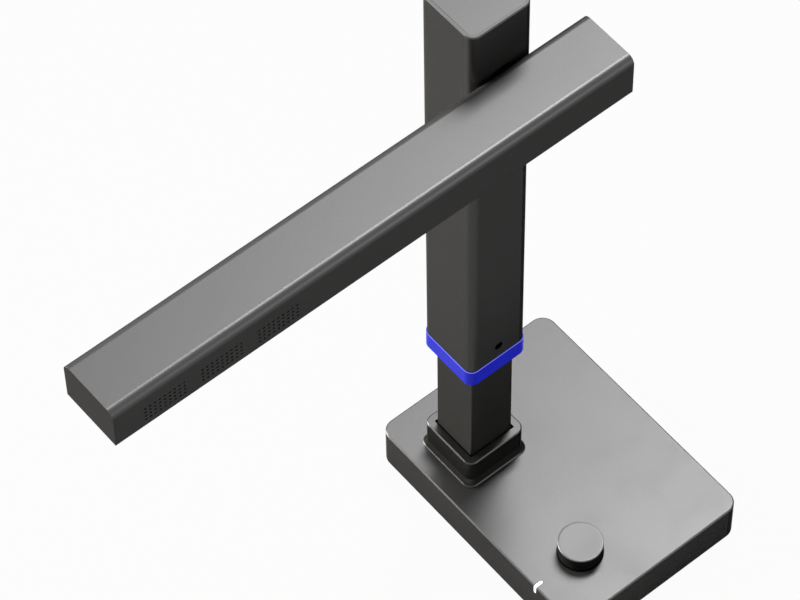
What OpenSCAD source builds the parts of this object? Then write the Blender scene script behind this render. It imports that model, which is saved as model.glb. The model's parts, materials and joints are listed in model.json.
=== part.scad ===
// Overhead document scanner: a weighted base with a dial, a square telescoping mast,
// and a long camera and light arm that folds down beside the mast.
// The origin is on the mast axis, on the surface that the scanner stands on.
// The pages lie in front of the base, towards -Y, under the free end of the arm.

/* [Base] */
// Length of the base from left to right
base_length = 158.8; // [150:0.1:175]
// Depth of the base from front to back
base_depth = 116.4; // [110:0.1:130]
// Height of the base top above the desk
base_height = 26; // [25:0.1:30]
// Corner radius of the base, seen from above
base_radius = 8; // [7:0.5:12]
// Distance from the mast axis to the left edge of the base
mast_to_left = 40.5; // [36:0.1:44]
// Distance from the mast axis to the front edge of the base
mast_to_front = 32.2; // [31:0.1:36]
// Thickness of the non-slip pad under the base
pad_thickness = 1.5; // [1:0.1:2]
// Height of the housing's lower rim above the desk
rim_clearance = 0.4; // [0.3:0.1:0.8]
// Chamfer along the top edge of the base
base_chamfer = 0.7; // [0.4:0.1:1]
// Distance from the mast axis to the status light
status_offset = 87.4; // [84:0.1:90]

/* [Dial] */
// Distance from the mast axis to the dial axis
dial_offset = 86.3; // [80:0.1:95]
// Radius of the dial
dial_radius = 12.2; // [11:0.1:14]
// Height of the dial top above the base
dial_height = 9.9; // [9.8:0.1:12]
// How far the dial travels when it is pushed
dial_travel = 0.6; // [0.4:0.05:0.7]

/* [Mast] */
// Width of the square mast tube
mast_width = 28; // [28:0.1:28.4]
// Width of the mast socket at its top
socket_width = 38.5; // [37.6:0.1:41]
// Height of the mast socket above the base
socket_height = 20.4; // [18:0.1:21.4]
// Corner radius of the mast socket
socket_radius = 5; // [4:0.1:6]
// Height of the mast top above the desk
mast_top = 270; // [262:1:272]

/* [Sleeve] */
// Width of the outer sleeve
sleeve_width = 37.6; // [37.5:0.1:38.4]
// Corner radius of the sleeve
sleeve_radius = 5; // [4.6:0.1:6]
// Height of the lower end of the sleeve above the desk
sleeve_bottom = 134.1; // [130:0.1:140]
// Height of the sleeve top above the desk
sleeve_top = 410.7; // [400:0.1:420]
// Height of the blue ring
ring_height = 12.4; // [8:0.1:13]
// Corner radius of the blue ring
ring_radius = 5; // [4.4:0.1:6]

/* [Arm] */
// Width of the arm
arm_width = 35.4; // [34:0.1:37]
// Height of the arm
arm_height = 25; // [24:0.1:26]
// Length of the arm
arm_length = 303; // [295:0.1:320]
// Length of the arm behind its pivot
arm_tail = 48.5; // [46:0.1:52]
// Radius of the two long top edges of the arm
arm_edge_radius = 4.4; // [4:0.1:7]
// Height of the arm pivot above the desk
pivot_height = 366.1; // [362:0.1:372]
// Gap between the sleeve and the arm
arm_gap = 1.4; // [1.2:0.1:2]

/* [Camera and lights] */
// Distance from the free end of the arm to the camera
camera_from_end = 60.3; // [58:0.1:61]
// Radius of the lens window
window_radius = 7.5; // [7:0.1:8]

/* [Hidden] */
$fn = 64;

// Gaps between pieces
gap = 0.05;
seam = 0.1;

// Base: walls, plate and the floor of the housing's roof
base_wall = 2.4;
base_roof = 3;
plate_thickness = 2;
plate_top = pad_thickness + plate_thickness;
roof_z = base_height - base_roof;
base_x = base_length / 2 - mast_to_left;
base_y = base_depth / 2 - mast_to_front;
base_back = base_depth - mast_to_front;
pad_inset = 3;

// Screws that hold the plate: three pairs along the base
plate_screw_inset_x = 13;
plate_screw_inset_y = 9;
plate_screw_x = [
  plate_screw_inset_x - mast_to_left,
  base_x,
  base_length - mast_to_left - plate_screw_inset_x
];
plate_screw_y = [plate_screw_inset_y - mast_to_front, base_back - plate_screw_inset_y];
boss_radius = 4.2;
m3_tap = 1.25;
m3_radius = 1.2;
m3_clear = 1.6;

// Ballast: a steel block at the back, opposite the arm
ballast_size = [80, 40, 16];
ballast_x = 12;
ballast_y = 47;
ballast_screw_pitch = 56;

// Mast socket and mast
socket_flare = 1.2;
socket_flare_height = 4;
socket_lip = 0.5;
socket_lip_height = 0.9;
socket_bolt_offset = 16.1;
pad_boss_size = 44;
pad_boss_depth = 4;
mast_gap = 0.5;
socket_gap = 0.9;
mast_wall = 2;
mast_inner = mast_width - 2 * mast_wall;
mast_foot_height = 18;
mast_bolt_pitch = 16;
mast_bolt_radius = 1.6;
lead_radius = 2.5;
lead_hole = 4;

// Sleeve and its guides
sleeve_wall = 2;
sleeve_inner = sleeve_width - 2 * sleeve_wall;
sleeve_inner_radius = sleeve_radius - sleeve_wall;
sleeve_face = sleeve_width / 2;
ring_width = sleeve_width + 0.8;
ring_bottom = sleeve_bottom - ring_height;
lower_guide_length = 28;
guide_gap = 0.1;
top_guide_length = 20;
cap_lip = 1.5;
cap_depth = 2.6;
coil_radius = 7;
sleeve_lead_radius = 2;
coil_bottom = base_height + mast_foot_height;
coil_top = mast_top - 8;
set_screw_z = 143.2;
set_screw_hole = 2;

// Pivot, from the arm inwards
pivot_radius = 6;
pivot_bore = 3.5;
bush_radius = 7.5;
plate_size = [30, 34];
hinge_plate_thickness = 3.2;
hinge_plate_x = sleeve_face - sleeve_wall - hinge_plate_thickness;
stop_radius = 9.4;
stop_pin_radius = 1.5;
stop_slot_radius = 1.65;
fold_angle = 90;
stop_start = 225;
flange_size = [2.5, 29, 13.4];
pivot_screw_y = 11.5;
pivot_screw_z = 3.8;
spacer_radius = stop_radius + stop_slot_radius + 0.2;
bush_flange = 1;
washer_thickness = 1;
spring_height = 2;
nut_height = 5;
nut_across = 20;
washer_x = hinge_plate_x - bush_flange - gap - washer_thickness;
spring_x = washer_x - gap - spring_height;
nut_x = spring_x - gap - nut_height;

// Arm: its box and walls
arm_x0 = sleeve_face + arm_gap;
arm_x1 = arm_x0 + arm_width;
arm_cx = (arm_x0 + arm_x1) / 2;
arm_y0 = arm_tail - arm_length;
arm_z0 = pivot_height - arm_height / 2;
arm_z1 = pivot_height + arm_height / 2;
arm_side = 1.8;
arm_roof = 2;
arm_end = 2;
cover_recess = 0.6;
cover_thickness = 2;
cover_z0 = arm_z0 + cover_recess;
cover_z1 = cover_z0 + cover_thickness;
cover_boss_radius = 3;
m2_tap = 1;
m2_radius = 0.95;
m2_clear = 1.3;

// Vents: three groups of round holes in the outer side of the arm
vent_columns = 9;
vent_rows = 4;
vent_pitch = 2.72;
vent_radius = 0.7;
vent_first = 28.3;
vent_group_pitch = 32;
vent_groups = 3;
vent_height = 8.2;
vent_middle_y = arm_y0 + vent_first + vent_group_pitch;

// Camera and lights
camera_y = arm_y0 + camera_from_end;
camera_opening = 10;
camera_board_z = arm_z1 - arm_roof - 4.6;
camera_board_length = 24;
board_thickness = 1.6;
light_width = 22;
light_front = [arm_y0 + 11, arm_y0 + 44];
light_back = [arm_y0 + 82, arm_y0 + 196];
lights = [light_front, light_back];
light_board_z = cover_z1 + 5;
chip_pitch = 11;
cover_screw_y = [arm_y0 + 6, arm_y0 + 77, arm_y0 + 202, arm_tail - 6];
cover_screw_x = 11;

// Dial parts
dial_top = base_height + dial_height;
dial_bottom = base_height + 1.1;
seat_height = 0.4;
encoder_size = 14;
encoder_top = roof_z - seam;
encoder_bottom = encoder_top - 8.6;
bushing_radius = 4.5;
rotor_radius = 3.8;
rotor_height = 14.5;
shaft_radius = 3;
shaft_flat = 2.2;
shaft_bottom = encoder_bottom + 2.4;
encoder_nut_height = 1.8;
dial_roof = 2;
dial_side = 1.9;
core_top = dial_top - dial_roof - gap;

// Status light guide and the sockets at the back
guide_width = 1.6;
guide_top_leg = 5;
guide_side_leg = 6;
socket_x = 77;
data_x = socket_x - 11;
power_x = socket_x + 11;
main_board_size = [46, 36];
main_board_z = 8.2;

// A rectangle with round corners, centred
module rounded_rect(width, depth, radius) {
  translate([radius - width / 2, -depth / 2])
    square([width - 2 * radius, depth]);
  translate([-width / 2, radius - depth / 2])
    square([width, depth - 2 * radius]);
  for (sx = [-1, 1], sy = [-1, 1])
    translate([sx * (width / 2 - radius), sy * (depth / 2 - radius)])
      circle(r = radius);
}

// A slab whose outline shrinks by its own height, which is a 45 degree chamfer
module chamfer_slab(width, depth, radius, chamfer) {
  for (sx = [-1, 1], sy = [-1, 1])
    translate([sx * (width / 2 - radius), sy * (depth / 2 - radius), 0])
      cylinder(h = chamfer, r1 = radius, r2 = radius - chamfer);
  rotate([90, 0, 0])
    linear_extrude(depth - 2 * radius, center = true)
      chamfer_section(width, chamfer);
  rotate([90, 0, 90])
    linear_extrude(width - 2 * radius, center = true)
      chamfer_section(depth, chamfer);
}

module chamfer_section(width, chamfer) {
  half = width / 2;
  polygon([[-half, 0], [half, 0], [half - chamfer, chamfer], [chamfer - half, chamfer]]);
}

// A block with round corners and a chamfer round its top and, if asked, its bottom
module rounded_block(width, depth, height, radius, top_chamfer, bottom_chamfer = 0) {
  translate([0, 0, bottom_chamfer])
    linear_extrude(height - top_chamfer - bottom_chamfer)
      rounded_rect(width, depth, radius);
  translate([0, 0, height - top_chamfer])
    chamfer_slab(width, depth, radius, top_chamfer);
  if (bottom_chamfer > 0)
    translate([0, 0, bottom_chamfer])
      mirror([0, 0, 1])
        chamfer_slab(width, depth, radius, bottom_chamfer);
}

// A cylinder whose axis runs along X, from x0 to x1, at the pivot
module pivot_cylinder(x0, x1, radius) {
  translate([x0, 0, pivot_height])
    rotate([0, 90, 0])
      cylinder(h = x1 - x0, r = radius);
}

// A plain screw that points up: its head is below the given height
module screw_up(z, length, radius, head_radius, head_height) {
  translate([0, 0, z - head_height])
    cylinder(h = head_height, r = head_radius);
  translate([0, 0, z])
    cylinder(h = length, r = radius);
}

// A countersunk screw that points up: the flat of its head is at the given height
module countersunk_up(z, length, radius, head_radius) {
  translate([0, 0, z])
    cylinder(h = head_radius - radius, r1 = head_radius, r2 = radius);
  translate([0, 0, z])
    cylinder(h = length, r = radius);
}

module at_plate_screws() {
  for (x = plate_screw_x, y = plate_screw_y)
    translate([x, y, 0])
      children();
}

module at_socket_bolts() {
  for (sx = [-1, 1], sy = [-1, 1])
    translate([sx * socket_bolt_offset, sy * socket_bolt_offset, 0])
      children();
}

module at_mast_bolts() {
  for (side = [-1, 1])
    translate([side * mast_bolt_pitch / 2, 0, 0])
      children();
}

module at_ballast_screws() {
  for (side = [-1, 1])
    translate([ballast_x + side * ballast_screw_pitch / 2, ballast_y, 0])
      children();
}

module at_board_screws() {
  for (sx = [-1, 1], y = [base_back - 35, base_back - 17])
    translate([socket_x + sx * (main_board_size[0] / 2 - 2.6), y, 0])
      children();
}

module at_cover_screws() {
  for (y = cover_screw_y, sx = [-1, 1])
    translate([arm_cx + sx * cover_screw_x, y, 0])
      children();
}

// The bent outline of the light guide, from the top of the base round to its front
module light_guide_shape(width) {
  front = -mast_to_front;
  top_end = front + guide_top_leg - width / 2;
  side_end = base_height - guide_side_leg + width / 2;
  translate([status_offset, 0, 0])
    rotate([90, 0, 90])
      linear_extrude(width, center = true)
        polygon([
          [front, side_end],
          [front, base_height - base_chamfer],
          [front + base_chamfer, base_height],
          [top_end, base_height],
          [top_end, roof_z],
          [front + base_wall, roof_z],
          [front + base_wall, side_end]
        ]);
  translate([status_offset, top_end, roof_z])
    cylinder(h = base_roof, r = width / 2);
  translate([status_offset, front, side_end])
    rotate([-90, 0, 0])
      cylinder(h = base_wall, r = width / 2);
}

module base_housing() {
  color("#55534f")
  difference() {
    union() {
      difference() {
        translate([base_x, base_y, rim_clearance])
          rounded_block(
            base_length,
            base_depth,
            base_height - rim_clearance,
            base_radius,
            base_chamfer
          );
        translate([base_x, base_y, 0])
          linear_extrude(roof_z)
            rounded_rect(
              base_length - 2 * base_wall,
              base_depth - 2 * base_wall,
              base_radius - base_wall
            );
      }
      translate([0, 0, roof_z - pad_boss_depth])
        linear_extrude(pad_boss_depth + seam)
          square(pad_boss_size, center = true);
      at_plate_screws()
        translate([0, 0, plate_top])
          cylinder(h = roof_z - plate_top + seam, r = boss_radius);
      at_board_screws()
        translate([0, 0, main_board_z + board_thickness])
          cylinder(h = roof_z - main_board_z - board_thickness + seam, r = 2.4);
    }
    at_plate_screws()
      translate([0, 0, plate_top - seam])
        cylinder(h = 12, r = m3_tap);
    at_board_screws()
      translate([0, 0, main_board_z])
        cylinder(h = 8, r = m2_tap);
    at_socket_bolts()
      translate([0, 0, roof_z - pad_boss_depth - seam])
        cylinder(h = base_roof + pad_boss_depth + 2 * seam, r = m3_clear);
    at_mast_bolts()
      translate([0, 0, roof_z - pad_boss_depth - seam])
        cylinder(h = base_roof + pad_boss_depth + 2 * seam, r = m3_clear + 0.2);
    translate([0, 0, roof_z - pad_boss_depth - seam])
      cylinder(h = base_roof + pad_boss_depth + 2 * seam, r = lead_hole);
    translate([dial_offset, 0, roof_z - seam])
      cylinder(h = base_roof + 2 * seam, r = bushing_radius + gap);
    light_guide_shape(guide_width + 2 * gap);
    translate([data_x, base_back + seam, main_board_z + board_thickness + 3.2])
      rotate([90, 0, 0])
        linear_extrude(base_wall + 2 * seam)
          rounded_rect(10.2, 4.6, 2.2);
    translate([power_x, base_back + seam, main_board_z + board_thickness + 5.5])
      rotate([90, 0, 0])
        cylinder(h = base_wall + 2 * seam, r = 4.2);
  }
}

module base_plate() {
  color("#8c8f92")
  difference() {
    translate([base_x, base_y, pad_thickness])
      linear_extrude(plate_thickness)
        rounded_rect(
          base_length - 2 * base_wall - 2 * seam,
          base_depth - 2 * base_wall - 2 * seam,
          base_radius - base_wall - seam
        );
    at_plate_screws()
      translate([0, 0, pad_thickness - seam])
        cylinder(h = plate_thickness + 2 * seam, r = m3_clear);
    at_plate_screws()
      translate([0, 0, pad_thickness - gap])
        cylinder(h = 1.4, r1 = m3_clear + 1.4, r2 = m3_clear);
    at_ballast_screws()
      translate([0, 0, pad_thickness - seam])
        cylinder(h = plate_thickness + 2 * seam, r = m3_clear);
    at_ballast_screws()
      translate([0, 0, pad_thickness - gap])
        cylinder(h = 1.4, r1 = m3_clear + 1.4, r2 = m3_clear);
  }
}

module non_slip_pad() {
  color("#1b1b1c")
    translate([base_x, base_y, 0])
      linear_extrude(pad_thickness)
        rounded_rect(base_length - 2 * pad_inset, base_depth - 2 * pad_inset, base_radius - pad_inset);
}

module ballast_weight() {
  color("#6f6a64")
  difference() {
    translate([ballast_x, ballast_y, plate_top + ballast_size[2] / 2])
      cube(ballast_size, center = true);
    at_ballast_screws()
      translate([0, 0, plate_top - seam])
        cylinder(h = 10, r = m3_tap);
  }
}

module ballast_screws() {
  color("#a5a8ab")
    at_ballast_screws()
      countersunk_up(pad_thickness + gap, 9, m3_radius, 2.6);
}

module plate_screws() {
  color("#a5a8ab")
    at_plate_screws()
      countersunk_up(pad_thickness + gap, 10, m3_radius, 2.6);
}

module main_board() {
  color("#1e5a38")
  difference() {
    translate([
      socket_x - main_board_size[0] / 2,
      base_back - base_wall - seam - main_board_size[1],
      main_board_z
    ])
      cube([main_board_size[0], main_board_size[1], board_thickness]);
    at_board_screws()
      translate([0, 0, main_board_z - seam])
        cylinder(h = board_thickness + 2 * seam, r = m2_clear);
  }
}

module board_chips() {
  color("#202124") {
    translate([socket_x - 12, base_back - 34, main_board_z + board_thickness])
      cube([12, 12, 1.6]);
    translate([socket_x + 4, base_back - 32, main_board_z + board_thickness])
      cube([9, 7, 1.4]);
    translate([socket_x + 6, base_back - 23, main_board_z + board_thickness])
      cube([5, 5, 1.2]);
  }
}

module board_screws() {
  color("#a5a8ab")
    at_board_screws()
      screw_up(main_board_z, 7, m2_radius, 2, 1.5);
}

module data_socket() {
  socket_z = main_board_z + board_thickness + 3.2;
  color("#9b9da0")
  translate([data_x, base_back - 0.4, socket_z])
    rotate([90, 0, 0]) {
      difference() {
        linear_extrude(7.6)
          rounded_rect(10, 4.4, 2.1);
        translate([0, 0, -seam])
          linear_extrude(6)
            rounded_rect(8.6, 3, 1.45);
      }
      translate([-3.3, -0.35, 1.2])
        cube([6.6, 0.7, 5]);
    }
  color("#202124")
    translate([data_x - 4, base_back - 8, main_board_z + board_thickness])
      cube([8, 4.6, 1.1]);
}

module power_socket() {
  socket_z = main_board_z + board_thickness + 5.5;
  color("#202124")
  translate([power_x, base_back - base_wall - seam, socket_z])
    rotate([90, 0, 0])
      difference() {
        union() {
          translate([-4.6, -5.5, 0])
            cube([9.2, 11, 11]);
          translate([0, 0, -base_wall + 0.3])
            cylinder(h = base_wall, r = 4.1);
        }
        translate([0, 0, -base_wall])
          cylinder(h = 11, r = 2.9);
      }
}

module status_light_guide() {
  color("#f4f5f2")
    light_guide_shape(guide_width);
}

module status_led() {
  color("#dfe3e0")
    translate([status_offset - 1.5, base_wall - mast_to_front + 0.4, encoder_bottom + seam])
      cube([3, 3, 4]);
}

// The collar that carries the mast, bolted up from inside the base, with a chamfered lip round its foot
module mast_socket() {
  flare_width = socket_width + 2 * socket_flare;
  lip_width = flare_width + 2 * socket_lip;
  color("#3c3a37")
  translate([0, 0, base_height])
    difference() {
      union() {
        rounded_block(socket_width, socket_width, socket_height, socket_radius, 0.6);
        rounded_block(
          lip_width,
          lip_width,
          socket_lip_height,
          socket_radius + socket_lip,
          socket_lip
        );
        translate([0, 0, socket_lip_height])
          hull() {
            linear_extrude(0.01, $fn = 32)
              rounded_rect(flare_width, flare_width, socket_radius);
            translate([0, 0, socket_flare_height])
              linear_extrude(0.01, $fn = 32)
                rounded_rect(socket_width, socket_width, socket_radius);
          }
      }
      translate([0, 0, -seam])
        linear_extrude(socket_height + 2 * seam)
          square(mast_width + 2 * socket_gap, center = true);
      at_socket_bolts()
        translate([0, 0, -seam])
          cylinder(h = 12, r = m3_tap);
    }
}

module socket_bolts() {
  color("#a5a8ab")
    at_socket_bolts()
      screw_up(roof_z - pad_boss_depth, 16, m3_radius, 2.8, 2.6);
}

// The plug inside the foot of the mast tube, which takes the two mast bolts
module mast_foot() {
  color("#8c8f92")
  translate([0, 0, base_height])
    difference() {
      linear_extrude(mast_foot_height)
        square(mast_inner - 2 * gap, center = true);
      translate([0, 0, -seam])
        cylinder(h = mast_foot_height + 2 * seam, r = lead_hole);
      at_mast_bolts()
        translate([0, 0, -seam])
          cylinder(h = 14, r = mast_bolt_radius + gap);
    }
}

module mast_bolts() {
  color("#a5a8ab")
    at_mast_bolts()
      screw_up(roof_z - pad_boss_depth, 19, mast_bolt_radius, 3.4, 2.6);
}

module mast_tube() {
  color("#3b3936")
  translate([0, 0, base_height])
    difference() {
      linear_extrude(mast_top - top_guide_length / 2 - base_height)
        rounded_rect(mast_width, mast_width, 1);
      translate([0, 0, -seam])
        linear_extrude(mast_top - base_height)
          square(mast_inner, center = true);
    }
}

// Sliding block on the mast top, with a spigot inside the tube
module top_guide() {
  guide_width_outer = sleeve_inner - 2 * guide_gap;
  color("#d8d6cf")
  difference() {
    union() {
      translate([0, 0, mast_top - top_guide_length / 2])
        linear_extrude(top_guide_length / 2)
          rounded_rect(guide_width_outer, guide_width_outer, sleeve_inner_radius);
      translate([0, 0, mast_top - top_guide_length])
        linear_extrude(top_guide_length)
          square(mast_inner - 2 * gap, center = true);
    }
    translate([0, 0, mast_top - top_guide_length - seam])
      cylinder(h = top_guide_length + 2 * seam, r = coil_radius + 0.6);
    for (side = [-1, 1])
      translate([side * sleeve_inner / 2, 0, mast_top - 5])
        cube([10, 12, 6], center = true);
  }
}

// Brake pads that press on the sleeve and hold its height
module friction_pads() {
  color("#2a2a2b")
    for (side = [-1, 1])
      translate([side * (sleeve_inner / 2 - gap - 1), 0, mast_top - 5])
        cube([2, 11.6, 5.6], center = true);
}

module pad_springs() {
  spring_x0 = sleeve_inner / 2 - 5;
  spring_length = 3 - gap;
  color("#a5a8ab")
    for (angle = [0, 180])
      rotate([0, 0, angle])
        translate([spring_x0, 0, mast_top - 5])
          rotate([0, 90, 0])
            difference() {
              cylinder(h = spring_length, r = 2.2);
              translate([0, 0, -seam])
                cylinder(h = spring_length + 2 * seam, r = 1.5);
            }
}

// The lead from the base to the foot of the coil
module base_lead() {
  color("#202124")
    translate([0, 0, plate_top + 3])
      cylinder(h = coil_bottom - plate_top - 3, r = lead_radius);
}

// The coiled lead inside the mast, which stretches as the sleeve rises
module harness_coil() {
  color("#202124")
  translate([0, 0, coil_bottom])
    difference() {
      cylinder(h = coil_top - coil_bottom, r = coil_radius);
      translate([0, 0, 3])
        cylinder(h = coil_top - coil_bottom - 6, r = coil_radius - 2.4);
      translate([0, 0, -seam])
        cylinder(h = coil_top - coil_bottom + 2 * seam, r = 1);
      translate([0, 0, coil_top - coil_bottom - 3 - seam])
        cylinder(h = 3 + 2 * seam, r = sleeve_lead_radius + 0.1);
    }
}

module dial_seat() {
  color("#161617")
  translate([dial_offset, 0, base_height])
    difference() {
      cylinder(h = seat_height, r = dial_radius + 0.3);
      translate([0, 0, -seam])
        cylinder(h = seat_height + 2 * seam, r = bushing_radius + gap);
    }
}

module encoder_nut() {
  color("#a5a8ab")
  translate([dial_offset, 0, base_height + seat_height])
    difference() {
      cylinder(h = encoder_nut_height, r = 6.3, $fn = 6);
      translate([0, 0, -seam])
        cylinder(h = encoder_nut_height + 2 * seam, r = bushing_radius + gap);
    }
}

module encoder_body() {
  body_height = encoder_top - encoder_bottom;
  color("#7f8184")
  translate([dial_offset, 0, encoder_bottom])
    difference() {
      union() {
        translate([0, 0, body_height / 2])
          cube([encoder_size, encoder_size, body_height], center = true);
        cylinder(h = base_height + seat_height + encoder_nut_height - encoder_bottom, r = bushing_radius);
      }
      translate([0, 0, -seam])
        cylinder(h = 30, r = rotor_radius + gap);
      translate([0, 0, -seam])
        cylinder(h = 4.5, r = 5.8);
    }
}

module encoder_switch() {
  color("#9b9da0")
    translate([dial_offset, 0, encoder_bottom - 1])
      cylinder(h = shaft_bottom - dial_travel - seam - encoder_bottom + 1, r = 2);
  color("#202124")
    translate([dial_offset, 0, encoder_bottom - 1])
      cylinder(h = 1, r = 5.7);
}

module dial_board() {
  color("#1e5a38")
    translate([dial_offset - 8, base_wall - mast_to_front + 0.4, encoder_bottom - 1 - board_thickness])
      cube([16, mast_to_front - base_wall + 8, board_thickness]);
  color("#202124")
  translate([dial_offset - 5.5, base_wall - mast_to_front + 8, encoder_bottom - 1])
    cube([11, 6, 1.5]);
}

// Turns in the encoder and lets the shaft slide through it
module encoder_rotor() {
  color("#c9b27a")
  translate([dial_offset, 0, encoder_bottom + 1])
    difference() {
      union() {
        cylinder(h = rotor_height, r = rotor_radius);
        cylinder(h = 3, r = 5.6);
      }
      translate([0, 0, -seam])
        difference() {
          cylinder(h = 18, r = shaft_radius + gap);
          translate([-10, shaft_flat + gap, -seam])
            cube([20, 20, 20]);
        }
    }
}

module dial_shaft() {
  color("#b9bbbd")
  translate([dial_offset, 0, shaft_bottom])
    difference() {
      cylinder(h = core_top - 1 - shaft_bottom, r = shaft_radius);
      translate([-10, shaft_flat, -seam])
        cube([20, 20, 40]);
    }
}

module dial_core() {
  nut_room = 3.2;
  color("#202124")
  translate([dial_offset, 0, dial_bottom + 0.3])
    difference() {
      cylinder(h = core_top - dial_bottom - 0.3, r = dial_radius - dial_side - gap);
      translate([0, 0, -seam])
        cylinder(h = nut_room, r = 7.2);
      difference() {
        translate([0, 0, -seam])
          cylinder(h = core_top - 1 - dial_bottom - 0.3 + seam, r = shaft_radius + gap);
        translate([-10, shaft_flat + gap, -1])
          cube([20, 20, 40]);
      }
    }
}

// The metal cap of the dial: a chamfered rim, a shallow groove under it, then a plain side
module dial_cap() {
  rim = 0.6;
  groove_top = dial_height - rim - 0.4;
  groove_bottom = groove_top - 0.5;
  inner = dial_radius - dial_side;
  color("#4a4845")
  translate([dial_offset, 0, base_height])
    rotate_extrude()
      polygon([
        [0, dial_height],
        [dial_radius - rim, dial_height],
        [dial_radius, dial_height - rim],
        [dial_radius, groove_top],
        [dial_radius - 0.4, groove_top],
        [dial_radius - 0.4, groove_bottom],
        [dial_radius, groove_bottom],
        [dial_radius, dial_bottom - base_height],
        [inner, dial_bottom - base_height],
        [inner, dial_height - dial_roof],
        [0, dial_height - dial_roof]
      ]);
}

// The slot that the stop pin runs in, cut along X through the sleeve and the hinge plate
module stop_slot(x0, x1) {
  for (step = [0:1])
    translate([x0, 0, pivot_height])
      rotate([stop_start + step * fold_angle, 0, 0])
        translate([0, stop_radius, 0])
          rotate([0, 90, 0])
            cylinder(h = x1 - x0, r = stop_slot_radius);
  translate([x0, 0, pivot_height])
    rotate([90, 0, 90])
      rotate([0, 0, stop_start])
        quarter_ring(x1 - x0);
}

// A quarter ring between the two ends of the stop slot
module quarter_ring(height) {
  linear_extrude(height)
    intersection() {
      difference() {
        circle(r = stop_radius + stop_slot_radius);
        circle(r = stop_radius - stop_slot_radius);
      }
      square(stop_radius * 2);
    }
}

module outer_sleeve() {
  length = sleeve_top - sleeve_bottom;
  color("#55534f")
  difference() {
    translate([0, 0, sleeve_bottom])
      rounded_block(sleeve_width, sleeve_width, length, sleeve_radius, 0.6);
    translate([0, 0, sleeve_bottom - seam])
      linear_extrude(length + 2 * seam)
        rounded_rect(sleeve_inner, sleeve_inner, sleeve_inner_radius);
    translate([0, 0, sleeve_top - cap_depth])
      linear_extrude(cap_depth + seam)
        rounded_rect(sleeve_width - 2 * cap_lip, sleeve_width - 2 * cap_lip, sleeve_radius - cap_lip);
    pivot_cylinder(0, sleeve_face + 1, bush_radius + gap);
    stop_slot(0, sleeve_face + 1);
    translate([0, 0, set_screw_z])
      rotate([0, 90, 0])
        cylinder(h = sleeve_face + 1, r = set_screw_hole);
    at_hinge_screws()
      cylinder(h = hinge_plate_thickness + 3, r = m2_radius + gap, center = true);
  }
}

module sleeve_cap() {
  cap_width = sleeve_width - 2 * cap_lip - 2 * seam;
  color("#5f5d59") {
    translate([0, 0, sleeve_top - cap_depth])
      linear_extrude(cap_depth - 0.1)
        rounded_rect(cap_width, cap_width, sleeve_radius - cap_lip - seam);
    translate([0, 0, sleeve_top - cap_depth - 8])
      linear_extrude(8)
        difference() {
          rounded_rect(sleeve_inner - 2 * gap, sleeve_inner - 2 * gap, sleeve_inner_radius - gap);
          rounded_rect(sleeve_inner - 5, sleeve_inner - 5, sleeve_inner_radius - 2.5);
        }
  }
}

// The blue ring, with a spigot up into the sleeve that the lower guide stands on
module accent_ring() {
  hole = mast_width + 2 * mast_gap;
  color("#2638d8")
  translate([0, 0, ring_bottom])
    difference() {
      union() {
        rounded_block(ring_width, ring_width, ring_height, ring_radius, 0.4, 0.8);
        linear_extrude(ring_height + 3)
          rounded_rect(sleeve_inner - 2 * gap, sleeve_inner - 2 * gap, sleeve_inner_radius - gap);
      }
      translate([0, 0, -seam])
        linear_extrude(ring_height + 4)
          square(hole, center = true);
    }
}

module lower_guide() {
  color("#d8d6cf")
  translate([0, 0, sleeve_bottom + 3])
    linear_extrude(lower_guide_length)
      difference() {
        rounded_rect(sleeve_inner - 2 * gap, sleeve_inner - 2 * gap, sleeve_inner_radius - gap);
        square(mast_width + 2 * guide_gap, center = true);
      }
}

// A grub screw in the small hole low on the sleeve, which sets how tight the lower guide runs
module guide_set_screw() {
  recess = 1.3;
  socket_depth = 0.5;
  color("#0c0c0d")
  translate([sleeve_face - sleeve_wall, 0, set_screw_z])
    rotate([0, 90, 0])
      difference() {
        cylinder(h = sleeve_wall - recess, r = set_screw_hole - gap);
        translate([0, 0, sleeve_wall - recess - socket_depth])
          cylinder(h = socket_depth + seam, r = 0.9, $fn = 6);
      }
}

module hinge_plate() {
  color("#8c8f92")
  difference() {
    intersection() {
      translate([hinge_plate_x + hinge_plate_thickness / 2, 0, pivot_height])
        cube([hinge_plate_thickness, plate_size[0], plate_size[1]], center = true);
      translate([0, 0, sleeve_bottom])
        linear_extrude(sleeve_top - sleeve_bottom)
          rounded_rect(sleeve_inner - 2 * gap, sleeve_inner - 2 * gap, sleeve_inner_radius - gap);
    }
    pivot_cylinder(0, sleeve_face + 1, bush_radius + gap);
    stop_slot(0, sleeve_face + 1);
    at_hinge_screws()
      cylinder(h = hinge_plate_thickness + 2, r = m2_radius + gap, center = true);
  }
}

module at_hinge_screws() {
  for (sy = [-1, 1], sz = [-1, 1])
    translate([
      hinge_plate_x + hinge_plate_thickness / 2,
      sy * (plate_size[0] / 2 - 2.6),
      pivot_height + sz * (plate_size[1] / 2 - 2.6)
    ])
      rotate([0, 90, 0])
        children();
}

module hinge_plate_screws() {
  color("#a5a8ab")
    at_hinge_screws() {
      translate([0, 0, -hinge_plate_thickness / 2])
        cylinder(h = hinge_plate_thickness + 1.4, r = m2_radius);
      translate([0, 0, -hinge_plate_thickness / 2 - 1.2])
        cylinder(h = 1.2, r = 1.8);
    }
}

module hinge_bush() {
  color("#b08a4a")
  difference() {
    union() {
      pivot_cylinder(hinge_plate_x, sleeve_face, bush_radius);
      pivot_cylinder(hinge_plate_x - bush_flange, hinge_plate_x, 9);
    }
    pivot_cylinder(0, sleeve_face + 1, pivot_radius + gap);
  }
}

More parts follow.
